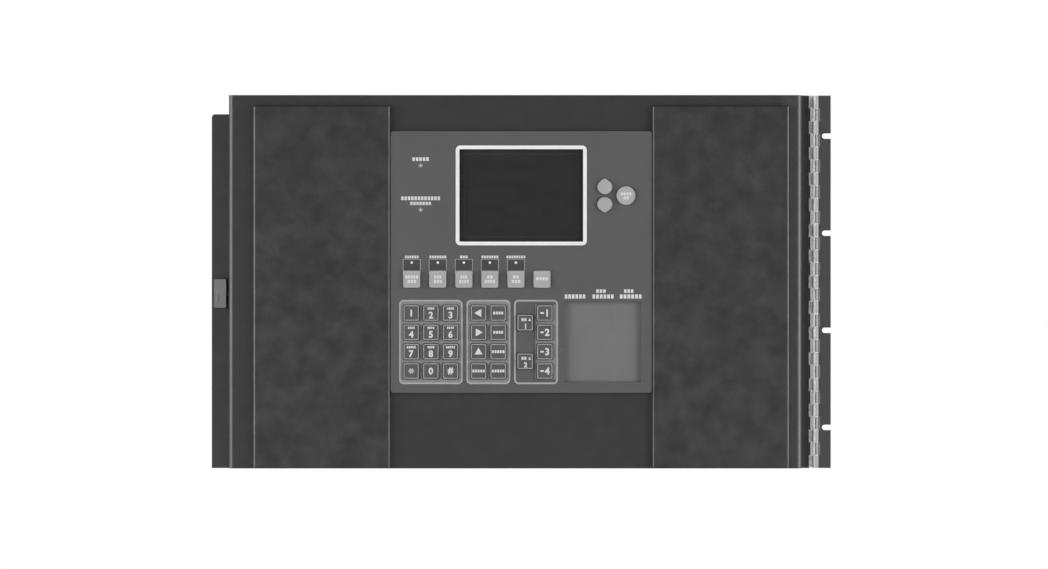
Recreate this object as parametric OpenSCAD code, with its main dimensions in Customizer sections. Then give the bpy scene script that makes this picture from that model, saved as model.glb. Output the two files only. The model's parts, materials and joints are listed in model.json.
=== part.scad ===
// Swing-out operator door of a fire alarm control panel: a folded sheet pan on a piano hinge, with a
// keypad and display module between two blank plates, the electronics behind, and a slide latch.
//
// X runs across the door, Z up, and the door faces -Y. The origin is on the back of the cabinet's
// hinge leaf, halfway up it, on the line of its screw slots.

/* [Door pan] */
// Width of the pan over its side walls
panel_w = 563.1; // [520:0.1:700]
// Height of the pan
panel_h = 367; // [306:1:450]
// Depth of the pan, from the back of its flanges to its face
panel_depth = 19; // [17:0.5:30]
// Thickness of the pan's sheet
sheet_t = 1.5; // [1:0.1:1.8]
// Outer radius of the pan's front bends
bend_r = 5; // [2.5:0.1:6]
// Width of the flange that carries the latch
latch_flange_w = 17.4; // [15:0.1:25]
// How far the latch flange stops short of the pan's top
latch_flange_drop = 18.5; // [5:0.1:40]
// Radius of the latch flange's upper corner
latch_corner_r = 3.5; // [1:0.5:6]
// Width of the flange between the pan's wall and the bare hinge
hinge_flange_w = 6.5; // [5:0.5:12]
// Bare strip between the hinge flange's edge and the pin's axis
bare_w = 6.8; // [5:0.1:8]

/* [Hinge] */
// Width of each hinge leaf, from the pin's axis to its outer edge
leaf_w = 16; // [14:0.5:24]
// Thickness of the hinge leaves
leaf_t = 1.5; // [1:0.1:1.8]
// Diameter of the hinge pin
pin_d = 3.5; // [2.8:0.1:4.2]
// Length of one knuckle, nearly: the hinge holds an odd number of equal ones
knuckle_target = 12.7; // [10:0.1:25]
// Gap between neighbouring knuckles, and round them
knuckle_gap = 0.4; // [0.3:0.05:0.8]
// Running clearance of the pin in the door leaf, on the radius
pin_clearance = 0.05; // [0.02:0.01:0.1]
// Number of open screw slots in the cabinet leaf
slot_count = 4; // [2:1:6]
// Width of a screw slot
slot_w = 5.3; // [4:0.1:6.5]
// Distance from the cabinet leaf's outer edge to the screw line
slot_inset = 6; // [4:0.1:9]
// Distance from the leaf's ends to the first and last slots
slot_margin = 40; // [20:1:60]

/* [Blank plates] */
// How far the blank plates stand proud of the pan's face
plate_rise = 3; // [2.5:0.1:5]
// Thickness of the plates' sheet
plate_t = 1.2; // [0.8:0.1:1.5]
// Radius of the plates' long front edges
plate_edge_r = 2.4; // [1.5:0.1:2.4]
// Distance from the pan's latch side to the left plate
latch_margin = 24.2; // [15:0.1:40]
// Distance from the right plate to the pan's hinge side
hinge_margin = 12.4; // [8:0.1:30]
// Bare band of the pan's face above the plates
plate_top_margin = 11.5; // [6:0.5:30]
// Gap between a plate and the overlay beside it
plate_gap = 0.5; // [0.3:0.1:3]
// Width of the rim where a plate lies over its window in the pan
plate_rim = 12; // [10:0.5:18]
// Diameter of the studs
stud_d = 4; // [3:0.5:5]

/* [Keypad] */
// Thickness of the keypad overlay
overlay_t = 2; // [1.5:0.1:3]
// Corner radius of the overlay
overlay_r = 3; // [1:0.5:8]
// Distance from the pan's top to the overlay
overlay_top = 35.5; // [25:0.5:50]
// Plain edge of the overlay round its fields
overlay_edge = 8.5; // [7:0.1:15]
// How far the overlay lies over the pan round the module window
overlay_lap = 8; // [6:0.5:10]
// Side of a square key
key_w = 15.7; // [13:0.1:19]
// Space between neighbouring keys in a row
key_gap_x = 3.6; // [3:0.1:5]
// Space between rows of keys
key_gap_z = 3.3; // [3:0.1:5]
// Corner radius of the square keys
key_r = 1.6; // [0.5:0.1:3]
// Width of a status key
status_w = 16.7; // [13:0.1:19]
// Height of a status key
status_h = 16.8; // [13:0.1:19]
// Space between neighbouring status keys
status_gap = 8.9; // [4:0.1:10]
// Number of status keys, of which all but the last have a lens
status_count = 6; // [2:1:6]
// Radius of the round scroll keys
scroll_r = 7.4; // [5:0.1:8]
// Radius of the round select key
select_r = 9.2; // [6:0.1:10]
// How far the keys stand proud of the overlay
key_rise = 1.2; // [1.1:0.1:2.5]
// Travel of a key
key_travel = 1; // [0.6:0.1:1]
// Clearance round a key in its hole
key_clearance = 0.3; // [0.3:0.05:0.6]
// Diameter of a key's stem
stem_d = 7; // [5:0.5:9]
// Space between a key and the outline of its group, across
group_pad_x = 4.1; // [3:0.1:6]
// Space between a key and the outline of its group, upward
group_pad_z = 5.05; // [3:0.05:8]
// Space between two groups
group_gap = 3.65; // [2:0.05:8]
// Width of the write-in label
label_w = 75.6; // [50:0.1:100]
// Height of the write-in label
label_h = 79.2; // [50:0.1:79.2]
// Height of a status lens
lens_h = 10; // [6:0.5:14]

/* [Display] */
// Width of the display's window
display_w = 121.6; // [100:0.1:130]
// Height of the display's window
display_h = 90.9; // [70:0.1:100]
// Width of the frame line round the window
display_ring = 4.6; // [3:0.1:8]
// Space between the lenses and the display's frame line
display_rise = 13; // [9:0.5:25]
// Distance from the overlay's top to the display's frame line
display_top = 13.1; // [11:0.1:25]
// Depth of the display module
lcd_depth = 11; // [8:0.5:14]

/* [Electronics] */
// Thickness of a circuit board
board_t = 1.6; // [1:0.1:2]
// Length of the hex standoffs between the two boards
standoff_h = 12; // [10:0.5:20]
// Height of the controller board
controller_h = 133; // [110:1:140]
// Depth of the rear cover behind the flanges' back
cover_depth = 16; // [14:0.5:40]
// Thickness of the rear cover's sheet
cover_t = 1.2; // [0.8:0.1:2]

/* [Latch] */
// Width of the latch grip
grip_w = 12; // [10:0.5:14]
// Height of the latch grip
grip_h = 28; // [20:0.5:40]
// Height of the latch's centre over the pan's bottom
latch_z = 172; // [100:1:250]
// Travel of the latch
latch_travel = 3; // [2:0.1:3]
// Clearance round the latch slider
latch_clearance = 0.3; // [0.3:0.05:0.5]

/* [Hidden] */
$fn = 48;
cut = 1;            // how far a cutting shape passes the surface it opens
fit_gap = 0.5;      // gap round parts that drop into a cutout

// Depths, from the back of the leaves forward
flange_back_y = -leaf_t;
flange_y = flange_back_y - sheet_t;
face_y = flange_back_y - panel_depth;
face_back_y = face_y + sheet_t;
overlay_y = face_y - overlay_t;
plate_y = face_y - plate_rise;
key_y = overlay_y - key_rise;

// The pan in X and Z
pin_x = slot_inset - leaf_w;
pan_x1 = pin_x - bare_w - hinge_flange_w;
pan_x0 = pan_x1 - panel_w;
pan_z0 = -panel_h / 2;
pan_z1 = panel_h / 2;

// The hinge
barrel_r = pin_d / 2 + pin_clearance + leaf_t;
leaf_setback = 0.05;    // the barrel stays this far inside the leaf's back
pin_y = -barrel_r - leaf_setback;
knuckle_count = 2 * floor(panel_h / (2 * knuckle_target)) + 1;
knuckle_h = panel_h / knuckle_count;
slot_pitch = (panel_h - 2 * slot_margin) / (slot_count - 1);

// The overlay's fields, measured from its lower left corner
key_pitch_x = key_w + key_gap_x;
key_pitch_z = key_w + key_gap_z;
digit_group_w = 2 * key_pitch_x + key_w + 2 * group_pad_x;
pair_group_w = key_pitch_x + key_w + 2 * group_pad_x;
group_h = 3 * key_pitch_z + key_w + 2 * group_pad_z;
arrow_group_u = overlay_edge + digit_group_w + group_gap;
function_group_u = arrow_group_u + pair_group_w + group_gap;
function_shift = 1.05;  // the function keys sit this far towards the digits
label_gap = 6.1;        // between the function keys' outline and the label
label_u = function_group_u + pair_group_w + label_gap;
label_v = overlay_edge + 1.8;
label_edge = 10.7;      // between the label and the overlay's edge
card_lap = 1.5;         // the card reaches past its window by this
card_t = 0.5;
overlay_w = label_u + label_w + label_edge;
status_rise = 11.9;     // between the key groups and the status keys
status_v = overlay_edge + group_h + status_rise + status_h / 2;
lens_gap = 0.9;         // between a status key and its lens
lens_w = status_w - 0.4;
lens_v = status_v + status_h / 2 + lens_gap + lens_h / 2;
display_v = lens_v + (lens_h + display_h) / 2 + display_rise + display_ring;
overlay_h = display_v + display_h / 2 + display_ring + display_top;
display_u = overlay_w / 2;
round_lens_r = 1.6;
round_lens_u = display_u - display_w / 2 - display_ring - 33.5;
round_lens_v = [display_v - 14.2, display_v + 29.4];
scroll_u = display_u + display_w / 2 + display_ring + 16.8;
scroll_pitch = 2 * scroll_r + 2.9;
scroll_v = display_v - 0.2;
select_u = scroll_u + scroll_r + select_r + 4.2;

// Where the overlay and the plates lie on the pan
plate_w = (panel_w - latch_margin - hinge_margin - overlay_w) / 2 - plate_gap;
overlay_x = pan_x0 + latch_margin + plate_w + plate_gap;
overlay_z = pan_z1 - overlay_top - overlay_h;
plate_h = panel_h - plate_top_margin - 1;
plate_z = pan_z0 + 1;
left_plate_x = pan_x0 + latch_margin;
right_plate_x = pan_x1 - hinge_margin - plate_w;
module_x = overlay_x + overlay_w / 2;
module_z = overlay_z + overlay_h / 2;

// Keys in depth
skirt_lip = 0.8;        // a key's skirt reaches this far under the overlay
skirt_t = 1;
skirt_reach = key_clearance + skirt_lip;
skirt_y = face_y + 0.3;
skirt_back_y = skirt_y + skirt_t;

// Boards and what they carry
spacer_h = 2.4;
keypad_board_y = face_back_y + spacer_h;
keypad_board_back_y = keypad_board_y + board_t;
stem_end_y = keypad_board_y - key_travel - 0.3;
mat_t = 1;
controller_y = keypad_board_back_y + standoff_h;
controller_back_y = controller_y + board_t;
spacer_inset = 4.5;     // from a board's edge to its fixing holes
board_w = overlay_w - 2 * overlay_lap + 17;
board_h = overlay_h - 2 * overlay_lap + 17;
fixing_x = board_w / 2 - spacer_inset;
fixing_z = board_h / 2 - spacer_inset;
screw_d = 3;
spacer_d = 6;
hex_d = 6.4;            // across the standoffs' corners
lcd_margin_x = 11.2;    // the display module reaches past its window by this
lcd_margin_z = 7;
lcd_x = overlay_x + display_u;
lcd_z = overlay_z + display_v;
lcd_w = display_w + 2 * lcd_margin_x;
lcd_h = display_h + 2 * lcd_margin_z;
window_t = 1.2;
window_lap = 3;
lcd_y = face_y + window_t;
lcd_back_y = lcd_y + lcd_depth;
controller_z = module_z - board_h / 2;
cover_w = board_w + 2 * (cover_t + fit_gap);
cover_h = board_h + 2 * (cover_t + fit_gap);
cover_tab_h = 12;
cover_tab_w = 24;
cover_tab_x = cover_w / 2 - 30;
wire_entry_w = 60;
wire_entry_y = 10;
ground_stud_z = pan_z0 + 24;
ground_stud_h = 14;
terminal_pitch = 5.08;
led_w = 3.5;
led_d = 2.8;
led_h = 2;
led_room = 4.5;         // the mat's opening for a lamp is wider by this
screw_head_d = 5.6;
screw_head_h = 2.2;
screw_bite = 3.4;       // a board screw's thread in its standoff

// The controller's parts: across, up, width, height and how far each stands up
PROCESSOR = [-30, 80, 28, 28, 2.4];
MEMORY = [[20, 86, 20, 12, 2], [52, 86, 20, 12, 2]];
RELAYS = [for (x = [-104, -82, -60]) [x, 60, 16, 24, 7]];

// The latch
flange_x0 = pan_x0 - latch_flange_w;
grip_x = flange_x0 + 2.2;
grip_z = pan_z0 + latch_z;
grip_rise = 3;
slider_x = grip_x + 2.4;
slider_w = grip_w - 4;
slider_h = grip_h - 8;
housing_t = 1.6;
housing_depth = 9;
housing_h = grip_h + 12;
latch_notch_end = pan_x0 + sheet_t + 0.6;
passage_x = slider_x - latch_clearance;
passage_w = slider_w + latch_travel + 2 * latch_clearance;
arm_w = 2.5;            // the slider's arm, narrow so that the housing's back closes the passage
arm_slot_w = arm_w + latch_travel + 2 * latch_clearance;
spring_turns = 5;
spring_d = 4.2;         // over the middle of the wire
spring_wire = 0.6;
spring_pocket = 6;
spring_x0 = slider_x + slider_w;
spring_x1 = passage_x + passage_w + spring_pocket;

NAV_LEFT = ["arrow_left", "arrow_right", "arrow_up", "edit"];
DIGITS = ["1", "2", "3", "4", "5", "6", "7", "8", "9", "star", "0", "hash"];
function row_v(row) = overlay_edge + group_pad_z + key_w / 2 + (3 - row) * key_pitch_z;
function column_u(group_u, column) = group_u + group_pad_x + key_w / 2 + column * key_pitch_x;

// Each square key: its name, its centre in the overlay's fields, its width and its height
SQUARE_KEYS = concat(
    [for (i = [0:status_count - 1])
        [str("key_status_", i + 1),
         overlay_edge + group_pad_x + status_w / 2 + i * (status_w + status_gap),
         status_v, status_w, status_h]],
    [for (row = [0:3], column = [0:2])
        [str("key_digit_", DIGITS[3 * row + column]),
         column_u(overlay_edge, column), row_v(row), key_w, key_w]],
    [for (row = [0:3])
        [str("key_", NAV_LEFT[row]), column_u(arrow_group_u, 0), row_v(row), key_w, key_w]],
    [for (row = [0:3])
        [str("key_command_", row + 1), column_u(arrow_group_u, 1), row_v(row), key_w, key_w]],
    [for (row = [0:3])
        [str("key_function_", row + 1),
         column_u(function_group_u, 1) - function_shift, row_v(row), key_w, key_w]],
    [for (i = [0, 1])
        [str("key_shift_", i + 1), column_u(function_group_u, 0) - function_shift,
         (row_v(2 * i) + row_v(2 * i + 1)) / 2, key_w, key_w]]);

// A scroll key's pointed half, for a radius of 1
TIP = [[-1, 0], [-0.87, 0.45], [-0.16, 1.03], [0.16, 1.03], [0.87, 0.45], [1, 0]];

// Each round key: its name, its centre, its radius, and 1 or -1 where it has a tip up or down
ROUND_KEYS = [
    ["key_scroll_up", scroll_u, scroll_v + scroll_pitch / 2, scroll_r, 1],
    ["key_scroll_down", scroll_u, scroll_v - scroll_pitch / 2, scroll_r, -1],
    ["key_select", select_u, scroll_v, select_r, 0]];

// A flat shape, drawn in X and Z, standing between two depths
module stand(front_y, back_y) {
    translate([0, back_y, 0])
        rotate([90, 0, 0])
            linear_extrude(back_y - front_y)
                children();
}

// A rectangle with round corners, about its centre
module rounded_rect(w, h, r) {
    square([w - 2 * r, h], center = true);
    square([w, h - 2 * r], center = true);
    for (x = [-1, 1], y = [-1, 1])
        translate([x * (w / 2 - r), y * (h / 2 - r)])
            circle(r);
}

// A rectangle from its lower left corner
module field(x, z, w, h) {
    translate([x, z])
        square([w, h]);
}

// A round bar along Y
module bar_y(x, z, d, front_y, back_y) {
    translate([x, back_y, z])
        rotate([90, 0, 0])
            cylinder(d = d, h = back_y - front_y);
}

// A section of a front with two bent edges, drawn in X and Y
module bent_front(x0, x1, front, back, r) {
    translate([x0 + r, front])
        square([x1 - x0 - 2 * r, back - front]);
    translate([x0, front + r])
        square([x1 - x0, back - front - r]);
    for (x = [x0, x1 - r], side = [x == x0 ? 1 : 0])
        intersection() {
            translate([x + side * r, front + r])
                circle(r);
            translate([x, front])
                square(r);
        }
}

module at_fixings(rows) {
    for (x = [-1, 1], row = rows)
        translate([module_x + x * fixing_x, 0, module_z + row * fixing_z])
            children();
}

// One leaf of the hinge, on the side that dir points to, with every second knuckle from first
module hinge_leaf(dir, first, edge_w, bore) {
    difference() {
        union() {
            translate([pin_x + (dir > 0 ? barrel_r + knuckle_gap : -edge_w), -leaf_t, pan_z0])
                cube([edge_w - barrel_r - knuckle_gap, leaf_t, panel_h]);
            for (i = [first:2:knuckle_count - 1])
                translate([pin_x, 0, pan_z0 + i * knuckle_h + knuckle_gap / 2]) {
                    translate([dir > 0 ? 0.5 : -edge_w + 1, -leaf_t, 0])
                        cube([edge_w - 1.5, leaf_t, knuckle_h - knuckle_gap]);
                    translate([0, pin_y, 0])
                        cylinder(r = barrel_r, h = knuckle_h - knuckle_gap);
                }
        }
        translate([pin_x, pin_y, pan_z0 - cut])
            cylinder(d = bore, h = panel_h + 2 * cut);
    }
}

module hinge_cabinet_leaf() {
    color("#6a6a6a")
    difference() {
        hinge_leaf(1, 1, leaf_w, pin_d);
        for (i = [0:slot_count - 1])
            translate([0, 0, pan_z0 + slot_margin + i * slot_pitch]) {
                bar_y(0, 0, slot_w, -leaf_t - cut, cut);
                translate([0, -leaf_t - cut, -slot_w / 2])
                    cube([slot_inset + cut, leaf_t + 2 * cut, slot_w]);
            }
    }
}

module hinge_pin() {
    color("#c8c8c8")
    translate([pin_x, pin_y, pan_z0 + 0.5])
        cylinder(d = pin_d, h = panel_h - 1);
}

module hinge_door_leaf() {
    color("#b0b0b0")
    hinge_leaf(-1, 0, leaf_w, pin_d + 2 * pin_clearance);
}

// Where the blank plates' studs pass through the pan
module at_plate_studs() {
    for (x = [left_plate_x, right_plate_x], side = [plate_rim / 2, plate_w - plate_rim / 2])
        for (z = [plate_z + plate_rim / 2, plate_z + plate_h - plate_rim / 2])
            translate([x + side, 0, z])
                children();
}

module at_cover_studs() {
    for (x = [-1, 1], z = [-1, 1])
        translate([module_x + x * cover_tab_x, 0, module_z + z * (cover_h + cover_tab_h) / 2])
            children();
}

// The pan's section across its height
module pan_section() {
    difference() {
        bent_front(pan_x0, pan_x1, face_y, flange_back_y, bend_r);
        bent_front(pan_x0 + sheet_t, pan_x1 - sheet_t, face_back_y, cut, bend_r - sheet_t);
    }
    translate([pan_x1 - sheet_t, flange_y])
        square([hinge_flange_w + sheet_t, sheet_t]);
}

module door_pan() {
    color("#404040")
    difference() {
        union() {
            translate([0, 0, pan_z0])
                linear_extrude(panel_h)
                    pan_section();
            // Top and bottom returns
            for (z = [pan_z0, pan_z1 - sheet_t])
                translate([0, 0, z])
                    linear_extrude(sheet_t)
                        bent_front(pan_x0 + sheet_t / 2, pan_x1 - sheet_t / 2,
                                   face_y + sheet_t / 2, flange_y, bend_r - sheet_t / 2);
            // Latch flange
            stand(flange_y, flange_back_y)
                difference() {
                    field(flange_x0, pan_z0, latch_flange_w + sheet_t,
                          panel_h - latch_flange_drop);
                    translate([flange_x0, pan_z1 - latch_flange_drop])
                        difference() {
                            square(2 * latch_corner_r, center = true);
                            translate([latch_corner_r, -latch_corner_r])
                                circle(latch_corner_r);
                        }
                }
            at_cover_studs()
                bar_y(0, 0, stud_d, face_back_y, face_back_y + 8);
            bar_y(module_x, ground_stud_z, stud_d, face_back_y, face_back_y + ground_stud_h);
        }
        // Windows for the operator module and for what a blank plate closes
        stand(face_y - cut, face_back_y + cut) {
            translate([module_x, module_z])
                rounded_rect(overlay_w - 2 * overlay_lap, overlay_h - 2 * overlay_lap, overlay_r);
            for (x = [left_plate_x, right_plate_x])
                translate([x + plate_w / 2, plate_z + plate_h / 2])
                    rounded_rect(plate_w - 2 * plate_rim, plate_h - 2 * plate_rim, overlay_r);
        }
        at_plate_studs()
            bar_y(0, 0, stud_d + 0.6, face_y - cut, face_back_y + cut);
        // Window for the latch slider, and a notch in the wall's foot for its grip
        translate([passage_x, flange_y - cut, grip_z - slider_h / 2 - latch_clearance])
            cube([passage_w, sheet_t + 2 * cut, slider_h + 2 * latch_clearance]);
        translate([grip_x + grip_w - 0.5, flange_y - grip_rise - 1.2, grip_z - grip_h / 2 - 0.4])
            cube([latch_notch_end - grip_x - grip_w + 0.5, sheet_t + grip_rise + 1.2 + cut,
                  grip_h + 0.8]);
    }
}

module blank_plate(x) {
    color("#434343")
    union() {
        difference() {
            translate([0, 0, plate_z])
                linear_extrude(plate_h)
                    bent_front(x, x + plate_w, plate_y, face_y, plate_edge_r);
            translate([0, 0, plate_z + plate_t])
                linear_extrude(plate_h - 2 * plate_t)
                    bent_front(x + plate_t, x + plate_w - plate_t, plate_y + plate_t, face_y + cut,
                               plate_edge_r - plate_t);
        }
        for (side = [plate_rim / 2, plate_w - plate_rim / 2])
            for (z = [plate_z + plate_rim / 2, plate_z + plate_h - plate_rim / 2])
                bar_y(x + side, z, stud_d, plate_y + plate_t, face_back_y + 6);
    }
}

module left_blank_plate() {
    blank_plate(left_plate_x);
}

module right_blank_plate() {
    blank_plate(right_plate_x);
}

// A flange nut, its face at Y = 0
module flange_nut() {
    difference() {
        union() {
            bar_y(0, 0, 1.9 * stud_d, 0, 0.8);
            rotate([-90, 0, 0])
                cylinder(d = 1.75 * stud_d, h = 3.4, $fn = 6);
        }
        bar_y(0, 0, stud_d, -cut, 3.4 + cut);
    }
}

module flange_nuts() {
    color("#b8b8b8") {
        at_plate_studs()
            translate([0, face_back_y, 0])
                flange_nut();
        at_cover_studs()
            translate([0, face_back_y + cover_t, 0])
                flange_nut();
    }
}

// A round key's outline, larger by grow
module round_outline(k, grow) {
    r = k[3] + grow;
    if (k[4] == 0)
        circle(r);
    else
        scale([1, k[4]]) {
            intersection() {
                circle(r);
                translate([-r, -r])
                    square([2 * r, r + 0.1]);
            }
            polygon(r * TIP);
        }
}

// Everything that pierces the overlay, in its own fields
module overlay_holes() {
    for (k = SQUARE_KEYS)
        translate([k[1], k[2]])
            rounded_rect(k[3] + 2 * key_clearance, k[4] + 2 * key_clearance, key_r);
    for (k = ROUND_KEYS)
        translate([k[1], k[2]])
            round_outline(k, key_clearance);
    translate([display_u, display_v])
        square([display_w, display_h], center = true);
    field(label_u, label_v, label_w, label_h);
    lens_outlines();
}

module lens_outlines() {
    for (i = [0:status_count - 2])
        translate([SQUARE_KEYS[i][1], lens_v])
            square([lens_w, lens_h], center = true);
    for (v = round_lens_v)
        translate([round_lens_u, v])
            circle(round_lens_r);
}

module keypad_overlay() {
    color("#5c5c5c")
    stand(overlay_y, face_y)
        difference() {
            translate([module_x, module_z])
                rounded_rect(overlay_w, overlay_h, overlay_r);
            translate([overlay_x, overlay_z])
                overlay_holes();
        }
}

module display_window() {
    color("#303030")
    stand(face_y, lcd_y)
        translate([lcd_x, lcd_z])
            square([display_w + 2 * window_lap, display_h + 2 * window_lap], center = true);
}

module label_card() {
    color("#6e6e6e")
    stand(face_y, face_y + card_t)
        field(overlay_x + label_u - card_lap, overlay_z + label_v - card_lap,
              label_w + 2 * card_lap, label_h + 2 * card_lap);
}

module status_lenses() {
    color("#2c2c2c")
    stand(overlay_y - 0.2, face_y)
        translate([overlay_x, overlay_z])
            lens_outlines();
}

module lcd_module() {
    color("#8c8c8c")
    difference() {
        union() {
            stand(lcd_y, lcd_back_y)
                translate([lcd_x, lcd_z])
                    square([lcd_w, lcd_h], center = true);
            // Ears that rest on the back of the keypad board
            for (x = [-1, 1], z = [-1, 1])
                translate([lcd_x + x * (lcd_w / 2 + 3) - 4, keypad_board_back_y,
                           lcd_z + z * lcd_h / 3 - 5])
                    cube([8, 1.2, 10]);
        }
        stand(lcd_back_y - 1, lcd_back_y + cut)
            translate([lcd_x, lcd_z])
                square([lcd_w - 20, lcd_h - 20], center = true);
    }
}

// The keypad board's outline, with a cutout for the display module
module keypad_board_outline(inset) {
    difference() {
        translate([module_x, module_z])
            square([board_w - 2 * inset, board_h - 2 * inset], center = true);
        translate([lcd_x, lcd_z])
            square([lcd_w + 2 * fit_gap, lcd_h + 2 * fit_gap], center = true);
    }
}

// The lamps behind the lenses, larger by grow
module lamp_outlines(grow) {
    for (i = [0:status_count - 2])
        translate([SQUARE_KEYS[i][1], lens_v])
            square([led_w + grow, led_d + grow], center = true);
    for (v = round_lens_v)
        translate([round_lens_u, v])
            square([led_w + grow, led_d + grow], center = true);
}

module keypad_mat() {
    color("#4a4a4a")
    stand(keypad_board_y - mat_t, keypad_board_y)
        difference() {
            keypad_board_outline(2 * spacer_inset);
            translate([overlay_x, overlay_z]) {
                for (k = concat(SQUARE_KEYS, ROUND_KEYS))
                    translate([k[1], k[2]])
                        circle(d = stem_d + 3);
                lamp_outlines(led_room);
            }
        }
}

module keypad_board() {
    color("#2f5d3a")
    difference() {
        stand(keypad_board_y, keypad_board_back_y)
            keypad_board_outline(0);
        at_fixings([-1, 0, 1])
            bar_y(0, 0, screw_d + 0.4, keypad_board_y - cut, keypad_board_back_y + cut);
    }
}

module status_leds() {
    color("#d8d8d8")
    stand(keypad_board_y - led_h, keypad_board_y)
        translate([overlay_x, overlay_z])
            lamp_outlines(0);
}

module board_standoffs() {
    color("#c4b070") {
        at_fixings([-1, 0, 1])
            difference() {
                bar_y(0, 0, spacer_d, face_back_y, keypad_board_y);
                bar_y(0, 0, screw_d, face_back_y + 0.4, keypad_board_y + cut);
            }
        at_fixings([-1, 0])
            translate([0, keypad_board_back_y, 0])
                difference() {
                    rotate([-90, 0, 0])
                        cylinder(d = hex_d, h = standoff_h, $fn = 6);
                    bar_y(0, 0, screw_d, -cut, standoff_h + cut);
                }
    }
}

// A pan-head screw whose head stands on Y = 0 and whose shank goes forward
module pan_screw(shank) {
    bar_y(0, 0, screw_d, -shank, 0.5);
    difference() {
        bar_y(0, 0, screw_head_d, 0, screw_head_h);
        // Cross recess
        stand(screw_head_h - 1, screw_head_h + cut) {
            square([0.6 * screw_head_d, 0.8], center = true);
            square([0.8, 0.6 * screw_head_d], center = true);
        }
    }
}

module board_screws() {
    color("#d0d0d0") {
        at_fixings([-1, 0])
            translate([0, controller_back_y, 0])
                pan_screw(board_t + screw_bite);
        at_fixings([1])
            translate([0, keypad_board_back_y, 0])
                pan_screw(board_t + spacer_h - 0.6);
    }
}

module controller_board() {
    color("#2f5d3a")
    difference() {
        union() {
            translate([module_x - board_w / 2, controller_y, controller_z])
                cube([board_w, board_t, controller_h]);
            for (part = concat([PROCESSOR], MEMORY, RELAYS))
                translate([module_x + part[0], controller_back_y, controller_z + part[1]])
                    cube([part[2], part[4], part[3]]);
        }
        at_fixings([-1, 0])
            bar_y(0, 0, screw_d + 0.4, controller_y - cut, controller_back_y + cut);
    }
}

module terminal_blocks() {
    ways = 10;
    block_pitch = 70;
    block_h = 12;
    block_depth = 9;
    entry_w = 3.2;
    color("#3c6a4a")
    for (block = [-1:1])
        translate([module_x + block * block_pitch - ways * terminal_pitch / 2,
                   controller_back_y, controller_z + 12])
            difference() {
                cube([ways * terminal_pitch, block_depth, block_h]);
                for (way = [0.5:1:ways - 0.5]) {
                    // Wire entry below, clamp screw behind
                    translate([way * terminal_pitch - entry_w / 2, 2, -cut])
                        cube([entry_w, 3.6, 5 + cut]);
                    bar_y(way * terminal_pitch, 8, entry_w, 6.5, block_depth + cut);
                }
            }
}

module ribbon_cable() {
    ribbon_w = 22;
    ribbon_t = 0.8;
    plug_h = 8;
    plug_rise = 1.4;
    run_y = lcd_back_y + plug_rise;
    ribbon_z1 = lcd_z - lcd_h / 2 + 24;
    ribbon_z0 = controller_z + controller_h - 14;
    color("#a8a8a8")
    translate([lcd_x + 30, 0, 0]) {
        translate([0, lcd_back_y - 1, ribbon_z1 - plug_h / 2])
            cube([ribbon_w, 1 + plug_rise, plug_h]);
        translate([0, run_y, ribbon_z0])
            cube([ribbon_w, ribbon_t, ribbon_z1 - ribbon_z0]);
        translate([0, run_y, ribbon_z0])
            cube([ribbon_w, controller_y - run_y, ribbon_t]);
        translate([0, controller_y - 2, ribbon_z0 - plug_h / 2])
            cube([ribbon_w, 2, plug_h]);
    }
}

module sounder() {
    color("#262626")
    translate([module_x + 100, controller_back_y, controller_z + 95])
        difference() {
            bar_y(0, 0, 24, 0, 9.5);
            bar_y(0, 0, 3, 5, 9.5 + cut);
        }
}

module rear_cover() {
    inner_w = cover_w - 2 * cover_t;
    inner_h = cover_h - 2 * cover_t;
    color("#8a8a8a")
    difference() {
        union() {
            stand(face_back_y, cover_depth)
                translate([module_x, module_z])
                    rounded_rect(cover_w, cover_h, 2);
            at_cover_studs()
                translate([-cover_tab_w / 2, face_back_y, -cover_tab_h / 2])
                    cube([cover_tab_w, cover_t, cover_tab_h]);
        }
        stand(face_back_y - cut, cover_depth - cover_t)
            translate([module_x, module_z])
                rounded_rect(inner_w, inner_h, 0.8);
        at_cover_studs()
            bar_y(0, 0, stud_d + 0.6, face_back_y - cut, face_back_y + cover_t + cut);
        // Wire entry in the bottom
        translate([module_x - wire_entry_w / 2, cover_depth - cover_t - wire_entry_y,
                   module_z - cover_h / 2 - cut])
            cube([wire_entry_w, wire_entry_y, 2 * cut + cover_t]);
        // Vents in the back, over the boards
        stand(cover_depth - cover_t - cut, cover_depth + cut)
            for (column = [-4:4])
                translate([module_x + column * 14, module_z + cover_h / 4])
                    rounded_rect(4, 40, 1.9);
    }
}

// The latch's housing stands behind the flange, round the slider, with a pocket for its spring
module latch_housing() {
    spring_y = flange_back_y + housing_depth / 2;
    color("#505050")
    difference() {
        translate([passage_x - housing_t, flange_back_y, grip_z - housing_h / 2])
            cube([passage_w + spring_pocket + 2 * housing_t, housing_depth, housing_h]);
        translate([passage_x, flange_back_y - cut, grip_z - slider_h / 2 - latch_clearance]) {
            cube([passage_w, housing_depth - housing_t + cut, slider_h + 2 * latch_clearance]);
            cube([arm_slot_w, housing_depth + 2 * cut, slider_h + 2 * latch_clearance]);
        }
        translate([passage_x + passage_w - cut, spring_y, grip_z])
            rotate([0, 90, 0])
                cylinder(d = spring_d + spring_wire + 0.6, h = spring_pocket + cut);
    }
}

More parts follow.
